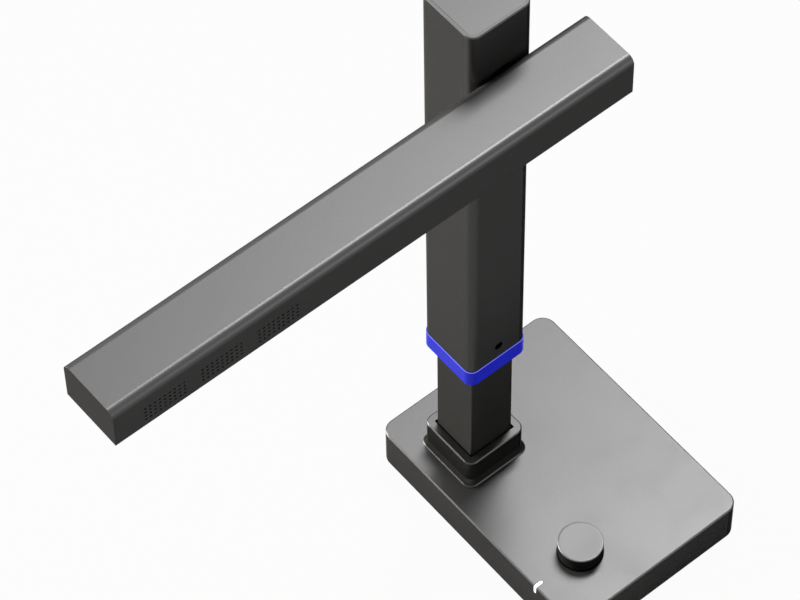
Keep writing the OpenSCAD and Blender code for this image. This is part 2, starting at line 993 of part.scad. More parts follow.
// The lead from the coil up to the pivot and through its hollow shaft
module sleeve_lead() {
  lead = sleeve_lead_radius;
  color("#202124") {
    translate([0, 0, coil_top - 2])
      cylinder(h = pivot_height - coil_top + 2, r = lead);
    translate([0, 0, pivot_height])
      sphere(r = lead);
    pivot_cylinder(0, arm_x0 + arm_side + 3, lead);
  }
}

// The arm's outline, seen along its length: two round top edges and sharp lower ones
module arm_profile(inset_side, inset_top, radius) {
  half = arm_width / 2 - inset_side;
  top = arm_z1 - inset_top;
  translate([arm_cx - half, arm_z0])
    square([2 * half, top - radius - arm_z0]);
  translate([arm_cx - half + radius, top - radius - seam])
    square([2 * (half - radius), radius + seam]);
  for (side = [-1, 1])
    translate([arm_cx + side * (half - radius), top - radius])
      circle(r = radius);
}

module vent_holes() {
  for (group = [0 : vent_groups - 1], column = [0 : vent_columns - 1], row = [0 : vent_rows - 1])
    translate([
      arm_x1 - arm_side - 1,
      arm_y0 + vent_first + group * vent_group_pitch + (column - (vent_columns - 1) / 2) * vent_pitch,
      arm_z0 + vent_height + (row - (vent_rows - 1) / 2) * vent_pitch
    ])
      rotate([0, 90, 0])
        cylinder(h = arm_side + 2, r = vent_radius, $fn = 24);
}

module arm_housing() {
  color("#6a6865")
  difference() {
    union() {
      difference() {
        translate([0, arm_tail, 0])
          rotate([90, 0, 0])
            linear_extrude(arm_length)
              arm_profile(0, 0, arm_edge_radius);
        translate([0, arm_tail - arm_end, 0])
          rotate([90, 0, 0])
            linear_extrude(arm_length - 2 * arm_end)
              translate([0, -seam])
                arm_profile(arm_side, arm_roof - seam, arm_edge_radius - arm_side);
      }
      at_cover_screws()
        translate([0, 0, cover_z1])
          cylinder(h = arm_z1 - arm_roof - cover_z1 + seam, r = cover_boss_radius);
    }
    at_cover_screws()
      translate([0, 0, cover_z1 - seam])
        cylinder(h = 9, r = m2_tap);
    pivot_cylinder(arm_x0 - 1, arm_x0 + arm_side + 1, pivot_radius + gap);
    at_pivot_screws()
      cylinder(h = 8, r = m2_radius + gap, center = true);
    at_stop_pin(arm_x0 - 1)
      cylinder(h = arm_side + 2, r = stop_pin_radius + gap);
    vent_holes();
  }
}

module at_pivot_screws() {
  for (sy = [-1, 1], sz = [-1, 1])
    translate([arm_x0, sy * pivot_screw_y, pivot_height + sz * pivot_screw_z])
      rotate([0, 90, 0])
        children();
}

module at_stop_pin(x) {
  translate([x, 0, pivot_height])
    rotate([stop_start, 0, 0])
      translate([0, stop_radius, 0])
        rotate([0, 90, 0])
          children();
}

// The flat cover under the arm, with openings for the camera and the two lights
module arm_cover() {
  color("#2f2e2c")
  difference() {
    translate([arm_cx, arm_tail - arm_length / 2, cover_z0 + cover_thickness / 2])
      cube([
        arm_width - 2 * arm_side - 2 * seam,
        arm_length - 2 * arm_end - 2 * seam,
        cover_thickness - 0.02
      ], center = true);
    translate([arm_cx, camera_y, cover_z0 - 1])
      cylinder(h = cover_thickness + 2, r = camera_opening);
    for (light = lights)
      translate([arm_cx - light_width / 2, light[0], cover_z0 - 1])
        cube([light_width, light[1] - light[0], cover_thickness + 2]);
    at_cover_screws()
      translate([0, 0, cover_z0 - seam])
        cylinder(h = cover_thickness + 2 * seam, r = m2_clear);
    at_cover_screws()
      translate([0, 0, cover_z0 - gap])
        cylinder(h = 1.1, r1 = m2_clear + 1.1, r2 = m2_clear);
  }
}

module arm_cover_screws() {
  color("#7f8184")
    at_cover_screws()
      countersunk_up(cover_z0 + seam, 8, m2_radius, 2);
}

module pivot_shaft() {
  inner_face = arm_x0 + arm_side;
  color("#b9bbbd")
  difference() {
    union() {
      pivot_cylinder(nut_x - 0.6, inner_face + seam, pivot_radius);
      translate([inner_face + flange_size[0] / 2, 0, pivot_height])
        cube(flange_size, center = true);
    }
    pivot_cylinder(0, arm_x1, pivot_bore);
    at_pivot_screws()
      cylinder(h = 20, r = m2_radius + gap, center = true);
  }
}

module pivot_screws() {
  color("#7f8184")
    at_pivot_screws() {
      translate([0, 0, 0.2])
        cylinder(h = arm_side + flange_size[0] - 0.2, r = m2_radius);
      translate([0, 0, arm_side + flange_size[0]])
        cylinder(h = 1.2, r = 1.8);
    }
}

// The disc that fills the gap between the arm and the sleeve and hides the stop slot
module pivot_spacer() {
  color("#1b1b1c")
  difference() {
    pivot_cylinder(sleeve_face + 0.15, arm_x0, spacer_radius);
    pivot_cylinder(sleeve_face, arm_x0 + 1, pivot_radius + gap);
    at_stop_pin(sleeve_face)
      cylinder(h = arm_gap + 1, r = stop_pin_radius + gap);
  }
}

module thrust_washer() {
  color("#b9bbbd")
  difference() {
    pivot_cylinder(washer_x, washer_x + washer_thickness, 9);
    pivot_cylinder(0, sleeve_face, pivot_radius + gap);
  }
}

// Two dished washers, back to back, that load the pivot so that the arm stays put
module spring_washers() {
  half = spring_height / 2;
  thickness = 0.5;
  color("#a5a8ab")
    for (side = [0, 1])
      translate([spring_x + half, 0, pivot_height])
        mirror([side, 0, 0])
          rotate([0, 90, 0])
            rotate_extrude()
              polygon([
                [pivot_radius + gap, half - thickness],
                [pivot_radius + gap, half],
                [9, thickness + 0.02],
                [9, 0.02]
              ]);
}

module pivot_nut() {
  color("#9b9da0")
  difference() {
    translate([nut_x, 0, pivot_height])
      rotate([0, 90, 0])
        cylinder(h = nut_height, r = nut_across / 2, $fn = 6);
    pivot_cylinder(0, sleeve_face, pivot_radius + gap);
  }
}

module stop_pin() {
  color("#b9bbbd")
    at_stop_pin(hinge_plate_x + 0.8)
      cylinder(h = arm_x0 + arm_side - hinge_plate_x - 0.8, r = stop_pin_radius);
}

// A dark gauze strip behind the vents
module vent_screen() {
  strip_length = (vent_groups - 1) * vent_group_pitch + vent_columns * vent_pitch + 4;
  strip_bottom = cover_z1 + 0.2;
  strip_height = arm_z0 + vent_height + vent_rows / 2 * vent_pitch + 1 - strip_bottom;
  color("#0c0c0d")
    translate([arm_x1 - arm_side - 0.7, vent_middle_y - strip_length / 2, strip_bottom])
      cube([0.6, strip_length, strip_height]);
}

module camera_board() {
  color("#1e5a38")
    translate([arm_cx, camera_y, camera_board_z])
      cube([26, camera_board_length, board_thickness], center = true);
  color("#202124")
    translate([arm_cx - 4, camera_y + 6, camera_board_z + board_thickness / 2])
      cube([8, 5, 1.4]);
}

module lens_barrel() {
  top = camera_board_z - board_thickness / 2;
  window_z = cover_z0 + 1.8;
  color("#161617")
  difference() {
    union() {
      translate([arm_cx, camera_y, cover_z1])
        cylinder(h = top - cover_z1, r = camera_opening - 0.4);
      translate([arm_cx, camera_y, cover_z0])
        cylinder(h = cover_thickness + seam, r = camera_opening - 0.1);
    }
    translate([arm_cx, camera_y, cover_z0 - seam])
      cylinder(h = window_z - cover_z0 + seam, r = window_radius + gap);
    translate([arm_cx, camera_y, window_z - seam])
      cylinder(h = top - window_z - 2, r = window_radius - 1);
  }
}

module lens_element() {
  lens_curve = 8;
  color("#27304a")
    translate([arm_cx, camera_y, cover_z1 + 3.5])
      rotate_extrude()
        intersection() {
          translate([0, lens_curve - 0.5])
            circle(r = lens_curve);
          translate([0, -1])
            square([window_radius - 1 - gap, 6]);
        }
}

module lens_window() {
  color("#9fb4c0")
    translate([arm_cx, camera_y, cover_z0 + 0.8])
      cylinder(h = 1, r = window_radius);
}

module light_boards() {
  color("#e6e6e2")
    for (light = lights)
      translate([arm_cx - light_width / 2 + 3.5, light[0] + 1, light_board_z])
        cube([light_width - 7, light[1] - light[0] - 2, board_thickness]);
}

module light_chips() {
  color("#f2d36b")
    for (light = lights)
      for (y = [light[0] + 6 : chip_pitch : light[1] - 5])
        translate([arm_cx, y, light_board_z - 0.4])
          cube([2.8, 3.5, 0.8], center = true);
}

module light_diffusers() {
  color("#eef0ee")
    for (light = lights)
      translate([arm_cx - light_width / 2 + seam, light[0] + seam, cover_z0 + 0.2])
        cube([light_width - 2 * seam, light[1] - light[0] - 2 * seam, cover_thickness - 0.3]);
}

// The lead from the pivot along the arm to the camera board
module arm_lead() {
  lead = 1.6;
  lead_z = pivot_height + 4.5;
  start_x = arm_x0 + arm_side + 3.4;
  color("#202124") {
    pivot_cylinder(start_x, arm_cx, lead);
    translate([arm_cx, 0, pivot_height])
      cylinder(h = lead_z - pivot_height, r = lead);
    translate([arm_cx, 0, pivot_height])
      sphere(r = lead);
    translate([arm_cx, 0, lead_z])
      sphere(r = lead);
    translate([arm_cx, 0, lead_z])
      rotate([90, 0, 0])
        cylinder(h = -camera_y - camera_board_length / 2 - 0.1, r = lead);
  }
}

base_housing();
base_plate();
non_slip_pad();
ballast_weight();
ballast_screws();
plate_screws();
main_board();
board_chips();
board_screws();
data_socket();
power_socket();
status_light_guide();
status_led();
mast_socket();
socket_bolts();
mast_foot();
mast_bolts();
mast_tube();
top_guide();
friction_pads();
pad_springs();
base_lead();
harness_coil();
dial_seat();
encoder_nut();
encoder_body();
encoder_switch();
dial_board();
encoder_rotor();
dial_shaft();
dial_core();
dial_cap();
outer_sleeve();
sleeve_cap();
accent_ring();
lower_guide();
guide_set_screw();
hinge_plate();
hinge_plate_screws();
hinge_bush();
sleeve_lead();
arm_housing();
arm_cover();
arm_cover_screws();
pivot_shaft();
pivot_screws();
pivot_spacer();
thrust_washer();
spring_washers();
pivot_nut();
stop_pin();
vent_screen();
camera_board();
lens_barrel();
lens_element();
lens_window();
light_boards();
light_chips();
light_diffusers();
arm_lead();
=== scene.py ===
import json
import math
import random

import bmesh
import bpy
from mathutils import Matrix, Vector


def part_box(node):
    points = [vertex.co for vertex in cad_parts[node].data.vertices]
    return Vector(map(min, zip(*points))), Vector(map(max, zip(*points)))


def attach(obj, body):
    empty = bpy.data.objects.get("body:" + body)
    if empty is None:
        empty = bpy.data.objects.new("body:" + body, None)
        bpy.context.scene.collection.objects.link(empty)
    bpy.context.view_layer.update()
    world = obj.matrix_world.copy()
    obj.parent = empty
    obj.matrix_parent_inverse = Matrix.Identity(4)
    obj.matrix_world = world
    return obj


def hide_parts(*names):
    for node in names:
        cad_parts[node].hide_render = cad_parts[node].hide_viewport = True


MM = 0.001
MERGE_DISTANCE = 1e-7

# The camera, solved from the straight edges of the base, mast and arm
CAMERA_PLACE = (0.887226, -0.755117, 1.884506)
CAMERA_RIGHT = (0.636766, 0.770963, -0.012045)
CAMERA_UP = (-0.634165, 0.532537, 0.560571)
CAMERA_FORWARD = (-0.438594, 0.349314, -0.828019)
CAMERA_LENS = 184.73


def make_camera():
    data = bpy.data.cameras.new("camera")
    data.lens = CAMERA_LENS
    data.sensor_width = 36
    data.sensor_fit = "HORIZONTAL"
    data.clip_start = 0.05
    data.clip_end = 50
    camera = bpy.data.objects.new("camera", data)
    turn = Matrix([CAMERA_RIGHT, CAMERA_UP, [-c for c in CAMERA_FORWARD]]).transposed()
    camera.matrix_world = Matrix.Translation(CAMERA_PLACE) @ turn.to_4x4()
    bpy.context.scene.collection.objects.link(camera)
    bpy.context.scene.camera = camera


make_camera()
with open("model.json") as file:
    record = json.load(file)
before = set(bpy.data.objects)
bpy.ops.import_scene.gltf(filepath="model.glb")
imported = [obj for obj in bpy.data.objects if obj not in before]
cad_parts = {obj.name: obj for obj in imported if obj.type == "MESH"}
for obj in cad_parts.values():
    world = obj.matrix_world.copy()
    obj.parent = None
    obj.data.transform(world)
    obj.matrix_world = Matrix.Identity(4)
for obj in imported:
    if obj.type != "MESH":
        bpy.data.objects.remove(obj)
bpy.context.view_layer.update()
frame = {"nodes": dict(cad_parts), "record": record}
nodes = frame["nodes"]


# Materials

class Shader:
    """A material whose nodes are added and joined in one call each."""

    def __init__(self, name):
        self.material = bpy.data.materials.new(name)
        self.material.use_nodes = True
        self.tree = self.material.node_tree
        self.bsdf = self.tree.nodes["Principled BSDF"]
        self.output = self.tree.nodes["Material Output"]
        self.place = self.tree.nodes.new("ShaderNodeTexCoord").outputs["Object"]

    def put(self, socket, value):
        if isinstance(value, bpy.types.NodeSocket):
            self.tree.links.new(value, socket)
        elif isinstance(value, (tuple, list)) and len(value) == 3 and socket.type == "RGBA":
            socket.default_value = (*value, 1)
        else:
            socket.default_value = value

    def add(self, kind, settings=None, **inputs):
        node = self.tree.nodes.new("ShaderNode" + kind)
        for key, value in (settings or {}).items():
            setattr(node, key, value)
        for key, value in inputs.items():
            self.put(node.inputs[key.replace("_", " ")], value)
        return node

    def set(self, **inputs):
        for key, value in inputs.items():
            self.put(self.bsdf.inputs[key.replace("_", " ")], value)

    def stretched(self, scale):
        return self.add("Mapping", Vector=self.place, Scale=scale).outputs["Vector"]

    def noise(self, scale, detail=3, roughness=0.5, vector=None):
        node = self.add(
            "TexNoise", Vector=vector or self.place, Scale=scale, Detail=detail, Roughness=roughness
        )
        return node.outputs["Fac"]

    def between(self, value, low, high, out_low=0.0, out_high=1.0):
        node = self.add("MapRange", Value=value)
        limits = {"From Min": low, "From Max": high, "To Min": out_low, "To Max": out_high}
        for name, number in limits.items():
            node.inputs[name].default_value = number
        return node.outputs["Result"]

    def math(self, operation, a, b):
        node = self.add("Math", {"operation": operation})
        self.put(node.inputs[0], a)
        self.put(node.inputs[1], b)
        return node.outputs["Value"]

    def mix(self, factor, a, b):
        node = self.add("Mix", {"data_type": "RGBA"})
        self.put(node.inputs[0], factor)
        self.put(node.inputs[6], a)
        self.put(node.inputs[7], b)
        return node.outputs[2]

    def rounded(self, radius):
        """The normal with the object's sharp edges rounded."""
        return self.add("Bevel", {"samples": 8}, Radius=radius).outputs["Normal"]

    def edges(self, radius):
        """1 on the object's sharp edges and 0 on its flats."""
        normal = self.add("NewGeometry").outputs["Normal"]
        dot = self.add("VectorMath", {"operation": "DOT_PRODUCT"})
        self.put(dot.inputs[0], self.rounded(radius))
        self.put(dot.inputs[1], normal)
        return self.between(dot.outputs["Value"], 0.995, 0.85)

    def bump(self, height, distance, normal=None):
        node = self.add("Bump", Height=height, Distance=distance, Strength=1.0)
        if normal:
            self.put(node.inputs["Normal"], normal)
        return node.outputs["Normal"]


def scaled(colour, factor):
    return tuple(c * factor for c in colour)


def satin_metal(name, colour, roughness, metallic=0.65, streak=None, wear=0.4, tint=0.1, grain=9e-6):
    """Blasted and coated aluminium: fine grain, faint clouds, handling marks, paler edges."""
    s = Shader(name)
    clouds = s.noise(11, 3)
    fine = s.noise(2600, 2)
    toned = s.mix(s.between(clouds, 0.3, 0.7), scaled(colour, 0.97), scaled(colour, 1.03))
    speckled = s.mix(s.between(fine, 0.35, 0.7), toned, scaled(colour, 1.12))
    rub = s.math("MULTIPLY", s.edges(0.35 * MM), s.between(s.noise(160, 4), 0.35, 0.75))
    marks = s.between(s.noise(46, 6, 0.65), 0.5, 0.8, 0, 0.04)
    rough = s.math("ADD", s.between(clouds, 0.3, 0.7, roughness - 0.012, roughness + 0.012), marks)
    height = fine
    if streak:
        lines = s.noise(900, 2, vector=s.stretched(streak))
        rough = s.math("ADD", rough, s.between(lines, 0.4, 0.7, -0.02, 0.04))
        height = s.math("ADD", fine, lines)
    s.set(
        Base_Color=s.mix(s.math("MULTIPLY", rub, wear), speckled, scaled(colour, 2.2)),
        Metallic=metallic,
        Roughness=rough,
        Specular_Tint=(tint, tint, tint),
        Specular_IOR_Level=0.0,
        Normal=s.bump(height, grain, s.rounded(0.22 * MM)),
    )
    return s.material


def plain_metal(name, colour, roughness, streak=(1, 1, 1), scale=500):
    """Plated, turned or cast metal: light brushing, dull patches, worn edges."""
    s = Shader(name)
    lines = s.noise(scale, 3, vector=s.stretched(streak))
    patches = s.noise(45, 5, 0.6)
    toned = s.mix(s.between(lines, 0.3, 0.7), scaled(colour, 0.8), scaled(colour, 1.1))
    dull = s.mix(s.between(patches, 0.5, 0.75, 0, 0.35), toned, scaled(colour, 0.55))
    s.set(
        Base_Color=s.mix(s.math("MULTIPLY", s.edges(0.25 * MM), 0.5), dull, scaled(colour, 1.25)),
        Metallic=1.0,
        Roughness=s.between(patches, 0.3, 0.7, roughness - 0.06, roughness + 0.08),
        Normal=s.bump(lines, 12e-6, s.rounded(0.12 * MM)),
    )
    return s.material


def moulding(name, colour, roughness, grain_scale=1800, grain=20e-6, sheen_marks=0.08):
    """Moulded plastic or rubber: spark-eroded grain, faint flow marks, rubbed edges."""
    s = Shader(name)
    fine = s.noise(grain_scale, 3, 0.6)
    flow = s.noise(22, 4)
    toned = s.mix(flow, scaled(colour, 0.9), scaled(colour, 1.1))
    rub = s.math("MULTIPLY", s.edges(0.3 * MM), s.between(s.noise(220, 3), 0.4, 0.7, 0, 0.45))
    s.set(
        Base_Color=s.mix(rub, toned, [min(1, 0.02 + 1.5 * c) for c in colour]),
        Roughness=s.math(
            "ADD",
            s.between(fine, 0.3, 0.7, roughness - 0.04, roughness + 0.04),
            s.between(s.noise(60, 5), 0.5, 0.8, 0, sheen_marks),
        ),
        Normal=s.bump(fine, grain, s.rounded(0.15 * MM)),
    )
    return s


def circuit_board(name, colour):
    """Solder mask over copper tracks, with small dots of solder."""
    s = Shader(name)
    turned = s.add("Mapping", Vector=s.place, Rotation=(0, 0, math.radians(45))).outputs["Vector"]
    tracks = s.add("TexVoronoi", {"distance": "CHEBYCHEV", "feature": "F1"}, Vector=turned, Scale=420)
    lines = s.between(tracks.outputs["Distance"], 0.32, 0.38)
    dots = s.add("TexVoronoi", {}, Vector=s.place, Scale=300)
    solder = s.between(dots.outputs["Distance"], 0.2, 0.15)
    mask = s.mix(lines, colour, scaled(colour, 1.8))
    s.set(
        Base_Color=s.mix(solder, mask, (0.55, 0.55, 0.52)),
        Metallic=s.math("MULTIPLY", solder, 0.9),
        Roughness=s.between(s.noise(90, 3), 0.3, 0.7, 0.28, 0.42),
        Normal=s.bump(s.math("ADD", lines, solder), 30e-6),
    )
    return s.material


def glass(name, colour, roughness):
    """Clear polished glass with faint smears."""
    s = Shader(name)
    smears = s.noise(120, 4)
    s.set(
        Base_Color=s.mix(smears, colour, scaled(colour, 0.97)),
        Roughness=s.between(smears, 0.4, 0.8, roughness, roughness + 0.05),
        Transmission_Weight=1.0,
        IOR=1.46,
        Normal=s.bump(smears, 4e-6),
    )
    return s.material


def coated_lens(name, colour):
    """Glass with a thin coating whose colour drifts from violet to green."""
    s = Shader(name)
    drift = s.add("LayerWeight", Blend=0.4).outputs["Facing"]
    bands = s.math("ADD", drift, s.between(s.noise(150, 2), 0.3, 0.7, -0.04, 0.04))
    s.set(
        Base_Color=s.mix(s.between(bands, 0.1, 0.6), colour, (0.02, 0.10, 0.07)),
        Roughness=s.between(s.noise(300, 3), 0.3, 0.7, 0.03, 0.08),
        Coat_Weight=1.0,
        Coat_Roughness=0.02,
        IOR=1.7,
        Normal=s.bump(s.noise(80, 2), 3e-6),
    )
    return s.material


def woven(name, colour, scale=1600, depth=80e-6):
    """The woven sleeve of a lead, or a fine fabric."""
    s = Shader(name)
    weave = s.add("TexVoronoi", {}, Vector=s.stretched((1, 1, 0.6)), Scale=scale).outputs["Distance"]
    s.set(
        Base_Color=s.mix(weave, scaled(colour, 1.6), scaled(colour, 0.5)),
        Roughness=s.between(weave, 0, 0.6, 0.5, 0.75),
        Normal=s.bump(weave, depth),
    )
    return s.material


def lit_plastic(name, colour, glow, roughness):
    """Milky plastic with light behind it."""
    s = moulding(name, colour, roughness, 1400, 10e-6)
    cloud = s.noise(120, 3)
    s.set(
        Emission_Color=s.mix(cloud, colour, scaled(colour, 0.92)),
        Emission_Strength=glow,
        Subsurface_Weight=0.2,
        Subsurface_Radius=(0.002, 0.002, 0.002),
    )
    return s.material


def ring_plastic_painted_glow(name, colour, glow, roughness):
    """Dyed plastic with a painted glow: its emission stands in for light falling on it; nothing lights it
    from within.
    """
    s = moulding(name, scaled(colour, 0.3), roughness, 1500, 8e-6, 0.04)
    s.set(
        Emission_Color=s.mix(s.noise(90, 3), scaled(colour, 0.9), colour),
        Emission_Strength=glow,
        Specular_IOR_Level=0.05,
    )
    return s.material


def turned_metal(name, colour, roughness, centre, metallic=0.65, tint=0.1):
    """Satin metal with fine turning rings round its axis."""
    s = Shader(name)
    shifted = s.add("Mapping", Vector=s.place, Location=(-centre[0], -centre[1], 0)).outputs["Vector"]
    parts = s.add("SeparateXYZ", Vector=shifted)
    squares = [s.math("POWER", parts.outputs[axis], 2) for axis in ("X", "Y")]
    radius = s.math("SQRT", s.math("ADD", *squares), 0)
    rings = s.noise(1, 3, 0.6, s.add("CombineXYZ", X=s.math("MULTIPLY", radius, 9000)).outputs[0])
    fine = s.noise(2600, 2)
    toned = s.mix(s.between(rings, 0.3, 0.7), scaled(colour, 0.96), scaled(colour, 1.05))
    rub = s.math("MULTIPLY", s.edges(0.3 * MM), s.between(s.noise(200, 4), 0.35, 0.75, 0, 0.5))
    s.set(
        Base_Color=s.mix(rub, toned, scaled(colour, 2.2)),
        Metallic=metallic,
        Roughness=s.between(rings, 0.3, 0.7, roughness - 0.02, roughness + 0.03),
        Specular_Tint=(tint, tint, tint),
        Specular_IOR_Level=0.0,
        Normal=s.bump(s.math("ADD", rings, fine), 4e-6, s.rounded(0.12 * MM)),
    )
    return s.material


GRAPHITE = (0.081, 0.080, 0.079)
DARK = (0.066, 0.065, 0.063)
BLACK_COAT = (0.024, 0.024, 0.024)
ALONG_MAST = (1, 1, 0.02)
dial_low, dial_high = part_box("dial_cap")
DIAL_AXIS = [(low + high) / 2 for low, high in zip(dial_low[:2], dial_high[:2])]

MATERIALS = {
    "graphite_shell": satin_metal("graphite_shell", GRAPHITE, 0.36, tint=0.05),
    # The mast tube's specular tint is raised so its sides render lighter: painted light.
    "dark_tube": satin_metal("dark_tube", DARK, 0.38, streak=ALONG_MAST, wear=0.3, tint=0.2),
    "dark_cover": moulding("dark_cover", (0.02, 0.02, 0.02), 0.5).material,
    # The blue ring glows with painted light; it holds no lamp.
    "blue_ring": ring_plastic_painted_glow("blue_ring", (0.016, 0.024, 0.72), 0.42, 0.36),
    "black_plastic": moulding("black_plastic", (0.012, 0.012, 0.012), 0.45).material,
    "guide_polymer": moulding("guide_polymer", (0.62, 0.60, 0.55), 0.5).material,
    "pad_rubber": moulding("pad_rubber", (0.022, 0.022, 0.022), 0.8, 900, 60e-6).material,
    "brake_pad": moulding("brake_pad", (0.03, 0.028, 0.026), 0.85, 1200, 60e-6).material,
    "plate_steel": plain_metal("plate_steel", (0.50, 0.51, 0.52), 0.38, (1, 0.05, 1)),
    "ballast_iron": plain_metal("ballast_iron", (0.12, 0.11, 0.10), 0.6, (0.1, 1, 1)),
    "screw_steel": plain_metal("screw_steel", (0.35, 0.35, 0.36), 0.32),
    "bush_bronze": plain_metal("bush_bronze", (0.45, 0.28, 0.12), 0.38, (0.05, 1, 1)),
    "foot_aluminium": plain_metal("foot_aluminium", (0.60, 0.60, 0.61), 0.4, (1, 1, 0.05)),
    "board_green": circuit_board("board_green", (0.008, 0.07, 0.03)),
    "chip_black": moulding("chip_black", (0.016, 0.016, 0.018), 0.5, 2400, 12e-6).material,
    "socket_metal": plain_metal("socket_metal", (0.55, 0.55, 0.56), 0.25, (1, 1, 0.1)),
    "lead_black": woven("lead_black", (0.02, 0.02, 0.02)),
    "white_guide": lit_plastic("white_guide", (0.9, 0.9, 0.88), 0.9, 0.35),
    "diffuser": lit_plastic("diffuser", (0.80, 0.81, 0.80), 0.05, 0.55),
    "light_board_white": moulding("light_board_white", (0.78, 0.78, 0.75), 0.45).material,
    "light_chip": moulding("light_chip", (0.80, 0.60, 0.10), 0.3, 2600, 8e-6).material,
    "lens_coated": coated_lens("lens_coated", (0.03, 0.012, 0.06)),
    "window_glass": glass("window_glass", (0.93, 0.96, 0.97), 0.01),
}
dial_face = turned_metal("dial_face", GRAPHITE, 0.36, DIAL_AXIS)
# Pale glowing plastic for the strip on the ring's top edge: a painted highlight.
ring_edge_painted_highlight = ring_plastic_painted_glow("ring_edge_painted_highlight", (0.30, 0.34, 0.90), 0.75, 0.36)
dial_side = satin_metal("dial_side", BLACK_COAT, 0.42, metallic=0.3, wear=0.25)
dial_rim = plain_metal("dial_rim", (0.17, 0.17, 0.17), 0.42, (1, 1, 1), 900)
# Copies of the graphite finish tuned per part to how light falls on them: the base's copy has a higher
# specular tint so its sides render lighter (painted light); the collar's copy is darker and more metallic
# (painted shade).
base_coat_painted_light = satin_metal("base_coat_painted_light", GRAPHITE, 0.36, tint=0.19)
collar_coat_painted_shade = satin_metal("collar_coat_painted_shade", (0.058, 0.057, 0.055), 0.36, metallic=0.9, wear=0.3, tint=0.28)
# Near-black with no reflection: painted shade, for parts that sit in shade (the pivot spacer in its
# crevice, the dial seat under the dial, the set screw and its hole).
painted_shade_black_shader = moulding("painted_shade_black", (0.004, 0.004, 0.004), 0.8)
painted_shade_black_shader.set(Specular_IOR_Level=0.0)
painted_shade_black = painted_shade_black_shader.material
vent_cloth = woven("vent_cloth", (0.008, 0.008, 0.008), 2600, 40e-6)

# Every solid of the frame takes the finish of its slot
for part in frame["record"]["subparts"]:
    mesh = nodes[part["node"]].data
    mesh.materials.clear()
    mesh.materials.append(MATERIALS[part["material_slot"]])
# The base and collar take their tuned copies of the graphite finish, painted light and painted shade.
for name, material in (
    ("base_housing", base_coat_painted_light),
    ("mast_socket", collar_coat_painted_shade),
    # The pivot spacer is painted near-black so it is lost in the shade behind the arm: painted shade.
    ("pivot_spacer", painted_shade_black),
    ("vent_screen", vent_cloth),
):
    nodes[name].data.materials[0] = material


# Detail pieces, each built in millimetres in the frame of the solids

class Build:
    """Vertices, faces and the material of each face, made into one object that rides on a body."""

    def __init__(self):
        self.points = []
        self.faces = []
        self.looks = []

    def face(self, indices, look=0):
        self.faces.append(list(indices))
        self.looks.append(look)

    def loops(self, rings, look=0, close_start=False, close_end=False):
        """Joins rings of equally many points by quads; look is one number, or a list with one per step."""
        looks = look if isinstance(look, list) else [look] * (len(rings) - 1)
        starts = []
        for ring in rings:
            starts.append(len(self.points))
            self.points.extend(ring)
        count = len(rings[0])
        for row, (low, high) in enumerate(zip(starts, starts[1:])):
            for i in range(count):
                j = (i + 1) % count
                self.face((low + i, low + j, high + j, high + i), looks[row])
        if close_start:
            self.face(range(starts[0] + count - 1, starts[0] - 1, -1), looks[0])
        if close_end:
            self.face(range(starts[-1], starts[-1] + count), looks[-1])

    def lathe(self, centre, profile, sides=96, look=0, wave=None):
        """Turns (radius, height) points round a vertical axis; wave(row, angle) changes a radius."""
        least_radius = 0.001
        rings = []
        for row, (radius, height) in enumerate(profile):
            ring = []
            for i in range(sides):
                angle = 2 * math.pi * i / sides
                r = max(radius, least_radius) + (wave(row, angle) if wave else 0)
                ring.append((centre[0] + r * math.cos(angle), centre[1] + r * math.sin(angle), height))
            rings.append(ring)
        self.loops(rings, look)

    def bar(self, low, high):
        """A plain box."""
        x0, y0, z0 = low
        x1, y1, z1 = high
        rings = [[(x0, y0, z), (x1, y0, z), (x1, y1, z), (x0, y1, z)] for z in (z0, z1)]
        self.loops(rings, close_start=True, close_end=True)

    def finish(self, name, body, materials, replaced=(), smooth=35):
        """Makes the object; edges sharper than smooth degrees stay sharp."""
        mesh = bpy.data.meshes.new(name)
        mesh.from_pydata([tuple(c * MM for c in p) for p in self.points], [], self.faces)
        for material in materials:
            mesh.materials.append(material)
        tidy = bmesh.new()
        tidy.from_mesh(mesh)
        for face, look in zip(tidy.faces, self.looks):
            face.material_index = look
            face.smooth = True
        bmesh.ops.remove_doubles(tidy, verts=tidy.verts, dist=MERGE_DISTANCE)
        bmesh.ops.recalc_face_normals(tidy, faces=tidy.faces)
        tidy.to_mesh(mesh)
        tidy.free()
        mesh.set_sharp_from_angle(angle=math.radians(smooth))
        obj = bpy.data.objects.new(name, mesh)
        bpy.context.scene.collection.objects.link(obj)
        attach(obj, body)
        if replaced:
            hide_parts(*replaced)
        return obj


def box_mm(node):
    """The two corners of a node's box."""
    low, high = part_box(node)
    return [c / MM for c in low], [c / MM for c in high]


def middle_mm(node):
    low, high = box_mm(node)
    return [(a + b) / 2 for a, b in zip(low, high)]


def arc_points(radius, height, size, start, end, steps):
    """Points of a round between two directions, in degrees, as (radius, height)."""
    points = []
    for i in range(steps + 1):
        angle = math.radians(start + (end - start) * i / steps)
        points.append((radius + size * math.cos(angle), height + size * math.sin(angle)))
    return points


def rounded_square(middle, half_width, half_depth, radius, z, steps=6):
    """The outline of a rectangle with round corners, at one height."""
    points = []
    for sx, sy, start in ((1, 1, 0), (-1, 1, 90), (-1, -1, 180), (1, -1, 270)):
        cx = middle[0] + sx * (half_width - radius)
        cy = middle[1] + sy * (half_depth - radius)
        points += [(cx + px, cy + py, z) for px, py in arc_points(0, 0, radius, start, start + 90, steps)]
    return points


# The dial: a turned top with a bright rim over a knurled grip

